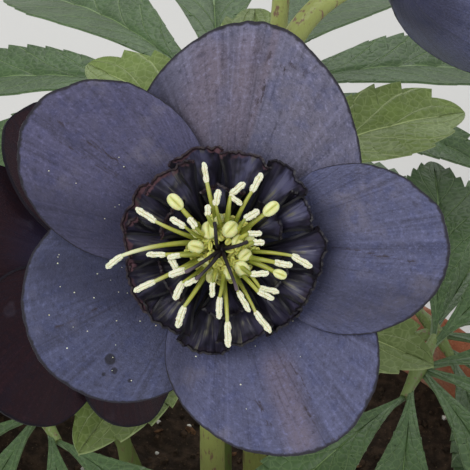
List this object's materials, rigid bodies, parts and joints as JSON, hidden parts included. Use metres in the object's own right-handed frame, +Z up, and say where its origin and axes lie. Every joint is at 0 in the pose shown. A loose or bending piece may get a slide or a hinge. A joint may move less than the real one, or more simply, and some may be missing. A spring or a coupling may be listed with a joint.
{
  "type": "hellebore plant",
  "caption": "Potted garden perennial with nodding and upturned open blooms, a bud, bracted flower stems and toothed basal leaves, standing in a tapered clay pot.",
  "frame": {"origin": "middle of the pot's foot, on the surface that it stands on", "axes": "+Z up along the pot; -Y towards the side that the best bloom looks to"},
  "size_m": [0.2377, 0.2533, 0.3736],
  "materials": {
    "terracotta": "matte",
    "compost": "matte",
    "leaf": "satin",
    "stem": "satin",
    "sepal": "matte",
    "nectary": "satin",
    "stamen": "matte",
    "carpel": "satin"
  },
  "bodies": {
    "root": {"pot": "terracotta", "soil": "compost", "leaf_1": "leaf", "leaf_2": "leaf", "leaf_3": "leaf", "leaf_4": "leaf", "leaf_5": "leaf", "leaf_6": "leaf", "stem_1": "stem", "stem_2": "stem", "bloom_1_sepals": "sepal", "bloom_1_nectaries": "nectary", "bloom_1_stamens": "stamen", "bloom_1_carpels": "carpel", "bloom_2_sepals": "sepal", "bloom_2_nectaries": "nectary", "bloom_2_stamens": "stamen", "bloom_2_carpels": "carpel", "bloom_3_sepals": "sepal", "bloom_3_nectaries": "nectary", "bloom_3_stamens": "stamen", "bloom_3_carpels": "carpel", "bud_1": "sepal"}
  },
  "joints": []
}
